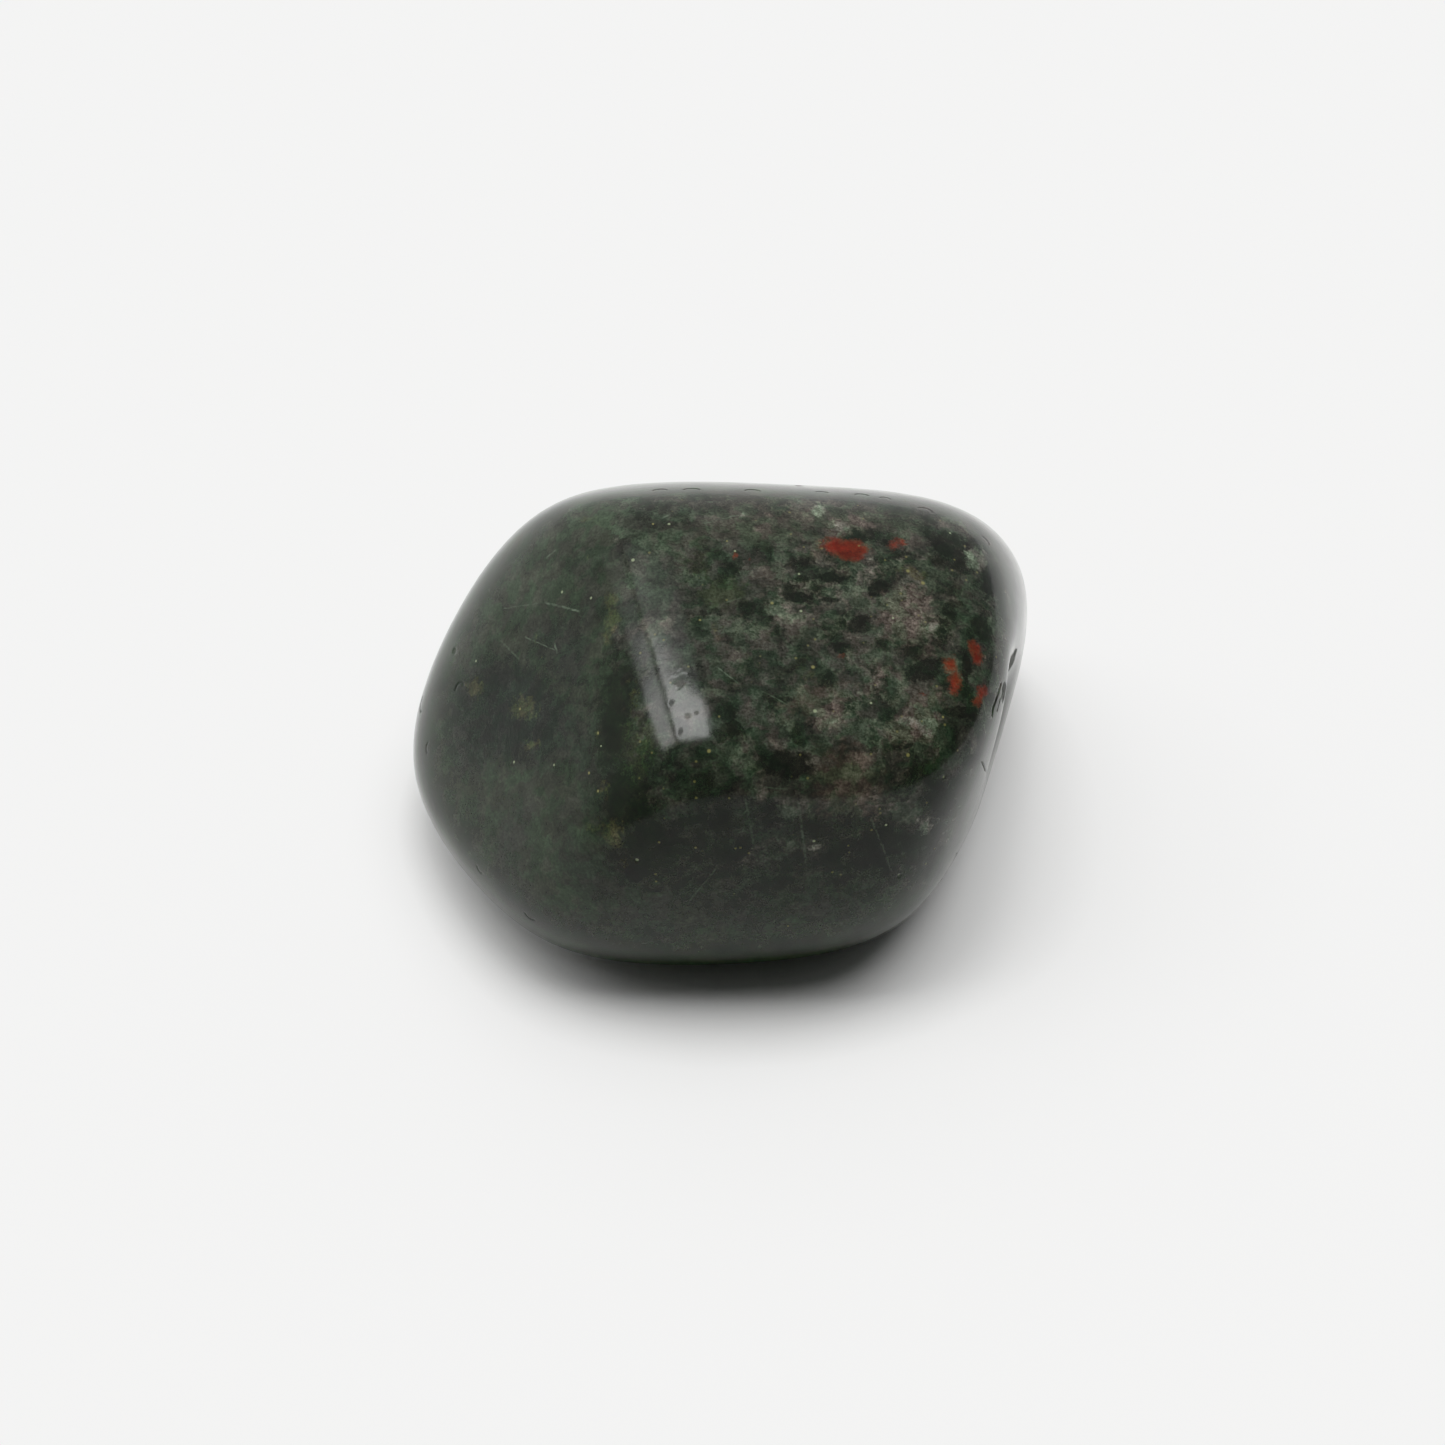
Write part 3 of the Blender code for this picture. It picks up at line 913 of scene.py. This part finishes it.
def blot(tree, pattern, name, low, high, rough, most):
    # a marking with a ragged edge
    rim = maths(tree, "MULTIPLY", pattern["ragged"], rough)
    value = maths(tree, "ADD", fieldOf(tree, name), rim)
    return ease(tree, value, low, high, 0.0, most)


def groundAndMarks(tree, pattern):
    look = bloodstoneLook
    plain = plainGround(tree, pattern["point"])
    broken = brokenGround(tree, pattern["point"], pattern["warped"])
    colour = blend(tree, pattern["broken"], plain, broken)
    for name, low, high, rough, most in markLayers:
        amount = blot(tree, pattern, name, low, high, rough, most)
        colour = blend(tree, amount, colour, look[name])
    grainy = ease(tree, pattern["grit"], 0.36, 0.66, 0.35, 1.0)
    shades = ease(tree, cloud(tree, pattern["warped"], patternScale["lilac"], 3.0, 0.7), 0.36, 0.66)
    lilac = blend(tree, shades, look["lilacShade"], look["lilac"])
    colour = blend(tree, blot(tree, pattern, "lilac", 0.36, 0.76, 1.3, 0.85), colour, lilac)
    olive = product(tree, blot(tree, pattern, "olive", 0.40, 0.8, 1.6, 0.8), grainy)
    colour = blend(tree, olive, colour, look["olive"])
    pale = product(tree, blot(tree, pattern, "pale", 0.42, 0.72, 1.0, 0.9), grainy)
    return blend(tree, pale, colour, look["pale"])


def redSpots(tree, pattern, colour):
    # red in the middle and browner at the rim, which is gritty
    look = bloodstoneLook
    edge = maths(tree, "ADD", fieldOf(tree, "red"), maths(tree, "MULTIPLY", pattern["ragged"], 0.7))
    gritty = maths(tree, "MULTIPLY", maths(tree, "SUBTRACT", pattern["grit"], 0.5), 0.35)
    edge = maths(tree, "ADD", edge, gritty)
    tint = blend(tree, ease(tree, edge, 0.46, 0.78), look["redBrown"], look["red"])
    tint = mottled(tree, pattern, tint, 0.0)
    return blend(tree, ease(tree, edge, 0.30, 0.60, 0.0, 0.92), colour, tint)


def grainsAndLines(tree, pattern, colour, skin):
    # fine bright grains, thick in the broken part and rare in the plain part
    look = bloodstoneLook
    dust = cells(tree, pattern["point"], patternScale["dust"])
    rare = ease(tree, pattern["broken"], 0.0, 1.0, 0.93, 0.80)
    chosen = maths(tree, "GREATER_THAN", dust.outputs["Color"], rare)
    dot = product(tree, ease(tree, dust.outputs["Distance"], 0.10, 0.24, 1.0, 0.0), chosen, 0.45)
    colour = blend(tree, dot, colour, look["speckGold"])
    group = grainGroup()
    white = grainAmount(tree, group, pattern["point"], brightGrains["white"], skin)
    gold = grainAmount(tree, group, pattern["point"], brightGrains["gold"], skin)
    colour = blend(tree, product(tree, white, 0.85), colour, look["speck"])
    colour = blend(tree, product(tree, gold, 0.85), colour, look["speckGold"])
    wobble = product(tree, pattern["ragged"], 0.12)
    healed = healedLineAmount(tree, pattern["point"], wobble, skin)
    breaks = ease(tree, cloud(tree, pattern["point"], patternScale["healed"], 2.0), 0.35, 0.6, 0.25, 1.0)
    return blend(tree, product(tree, healed, breaks), colour, look["healed"])


def polishedBloodstone(skin):
    look = bloodstoneLook
    material = bpy.data.materials.new("polishedBloodstone")
    material.use_nodes = True
    tree = material.node_tree
    shader = tree.nodes["Principled BSDF"]
    pattern = stonePattern(tree)
    colour = groundAndMarks(tree, pattern)
    colour = mottled(tree, pattern, colour, pattern["broken"])
    colour = redSpots(tree, pattern, colour)
    colour = grainsAndLines(tree, pattern, colour, skin)
    dullAndShade = fieldOf(tree, "dullAndShade")
    # painted shade: the colour is darkened by up to a quarter where the skin is chipped, pitted or cracked
    colour = brighten(tree, colour, ease(tree, dullAndShade, 0.1, 0.9, 1.0, 0.75))
    tree.links.new(colour, shader.inputs["Base Color"])
    smoothest, dullest = look["roughness"] - 0.02, look["roughness"] + 0.03
    polish = cloud(tree, pattern["point"], patternScale["polish"], 3.0)
    polish = ease(tree, polish, 0.3, 0.7, smoothest, dullest)
    polish = maths(tree, "ADD", polish, maths(tree, "MULTIPLY", dullAndShade, 0.40))
    tree.links.new(polish, shader.inputs["Roughness"])
    shader.inputs["IOR"].default_value = look["ior"]
    shader.inputs["Specular IOR Level"].default_value = look["shine"]
    bump = tree.nodes.new("ShaderNodeBump")
    bump.inputs["Strength"].default_value = look["bumpStrength"]
    bump.inputs["Distance"].default_value = look["bumpHeight"]
    height = cloud(tree, pattern["point"], patternScale["bump"], 4.0, 0.6)
    height = maths(tree, "ADD", height, maths(tree, "MULTIPLY", pattern["grit"], 0.3))
    tree.links.new(height, bump.inputs["Height"])
    tree.links.new(bump.outputs["Normal"], shader.inputs["Normal"])
    return material


stone.data.materials.append(polishedBloodstone(skin))
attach(stone, "root")
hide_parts("bloodstone")
print("stone finished,", sum(len(face.vertices) - 2 for face in stone.data.polygons), "triangles")


# Floor and light
floorLook = {"size": 3.0, "colour": (0.90, 0.90, 0.895, 1.0), "roughness": 0.9}


def addFloor():
    deselectAll()
    bpy.ops.mesh.primitive_plane_add(size=floorLook["size"], location=(0, 0, 0))
    floor = bpy.context.object
    floor.name = "floor"
    paint = bpy.data.materials.new("floorPaper")
    paint.use_nodes = True
    node = paint.node_tree.nodes["Principled BSDF"]
    node.inputs["Base Color"].default_value = floorLook["colour"]
    node.inputs["Roughness"].default_value = floorLook["roughness"]
    node.inputs["Specular IOR Level"].default_value = 0.0
    floor.data.materials.append(paint)


addFloor()

skyLook = {
    "strength": 1.00,
    # dim parts of the room: heading, tilt, edge, middle, what is left of the light there,
    # and what is left where the stone mirrors it
    "dim": [(-72, 28, -0.36, 0.88, 0.03, 0.74), (14, 6, 0.30, 0.95, 1.0, 0.75)],
    # two window panes side by side: heading and tilt of the window's middle, then for each
    # pane its reach across and along it, and its glow
    "windowHeading": 138.0,
    "windowTilt": 55.0,
    "panes": [(-0.46, 0.12, -0.12, 0.57, 5.6), (0.20, 0.56, -0.12, 0.57, 3.2)],
    "paneLight": 0.75,          # the share of their glow that lights the floor
    "soft": 0.035,
    # a pane is brightest past the second reach along it, and the last part is left of it
    # before the first
    "faded": (0.02, 0.14, 0.10),
    # the broad lamp overhead, kept out of the stone's reflections
    "lampHeading": 28.0,
    "lampTilt": 76.0,
    "lampSpread": 40.0,
    "lampStrength": 1.64,
}


def skyLobe(tree, ray, heading, tilt, edge, middle, inside):
    away = vectors(tree, "DOT_PRODUCT", ray, tuple(toward(heading, tilt)))
    return ease(tree, away, edge, middle, 1.0, inside)


def windowAxes():
    # across runs the way a reflection moves over the ridge of the stone, and along the other way
    middle = toward(skyLook["windowHeading"], skyLook["windowTilt"])
    toEye = -viewAlong

    def mirrored(heading, tilt):
        face = toward(heading, tilt)
        return 2.0 * (face @ toEye) * face - toEye

    crown, slope = stoneShape["wornFaces"][1], stoneShape["wornFaces"][2]
    across = mirrored(slope[0], slope[1]) - mirrored(crown[0], crown[1])
    across -= middle * (across @ middle)
    across /= np.linalg.norm(across)
    return middle, across, np.cross(middle, across)


def between(tree, value, low, high, soft):
    # 1 from low to high, with soft ends
    rising = ease(tree, value, low - soft, low + soft)
    return product(tree, rising, ease(tree, value, high - soft, high + soft, 1.0, 0.0))


def windowPanes(tree, ray, mirrored):
    # each pane's glow, for what the stone mirrors and for what lights the floor
    middle, across, along = windowAxes()
    facing = vectors(tree, "DOT_PRODUCT", ray, tuple(middle))
    over = maths(tree, "DIVIDE", vectors(tree, "DOT_PRODUCT", ray, tuple(across)), facing)
    down = maths(tree, "DIVIDE", vectors(tree, "DOT_PRODUCT", ray, tuple(along)), facing)
    ahead = maths(tree, "GREATER_THAN", facing, 0.3)
    first, second, least = skyLook["faded"]
    fading = maths(tree, "POWER", ease(tree, down, first, second), 2.0)
    fading = maths(tree, "MAXIMUM", fading, least)
    glows = []
    for low, high, start, end, glow in skyLook["panes"]:
        width = between(tree, over, low, high, skyLook["soft"])
        length = between(tree, down, start, end, skyLook["soft"])
        shown = ease(tree, mirrored, 0.0, 1.0, glow * skyLook["paneLight"], glow)
        glows.append(product(tree, width, length, fading, ahead, shown))
    return glows


def addSky():
    world = bpy.data.worlds.new("studio")
    bpy.context.scene.world = world
    world.use_nodes = True
    tree = world.node_tree
    back = tree.nodes["Background"]
    back.inputs["Color"].default_value = (1.0, 1.0, 1.0, 1.0)
    ray = tree.nodes.new("ShaderNodeTexCoord").outputs["Generated"]
    # where the room is dim, the floor gets less of its light than the stone mirrors
    mirrored = tree.nodes.new("ShaderNodeLightPath").outputs["Is Glossy Ray"]
    strength = skyLook["strength"]
    for heading, tilt, edge, middle, left, shown in skyLook["dim"]:
        inside = ease(tree, mirrored, 0.0, 1.0, left, shown)
        lobe = skyLobe(tree, ray, heading, tilt, edge, middle, inside)
        strength = maths(tree, "MULTIPLY", strength, lobe)
    for glow in windowPanes(tree, ray, mirrored):
        strength = maths(tree, "ADD", strength, glow)
    tree.links.new(strength, back.inputs["Strength"])


def addLamp():
    data = bpy.data.lights.new("overhead", "SUN")
    data.energy = skyLook["lampStrength"]
    data.angle = math.radians(skyLook["lampSpread"])
    lamp = bpy.data.objects.new("overhead", data)
    bpy.context.scene.collection.objects.link(lamp)
    above = Vector(toward(skyLook["lampHeading"], skyLook["lampTilt"]))
    lamp.location = above
    lamp.rotation_euler = above.to_track_quat("Z", "Y").to_euler()
    lamp.visible_glossy = False


addSky()
addLamp()
bpy.context.scene.view_settings.view_transform = "Khronos PBR Neutral"
print("floor and light placed")
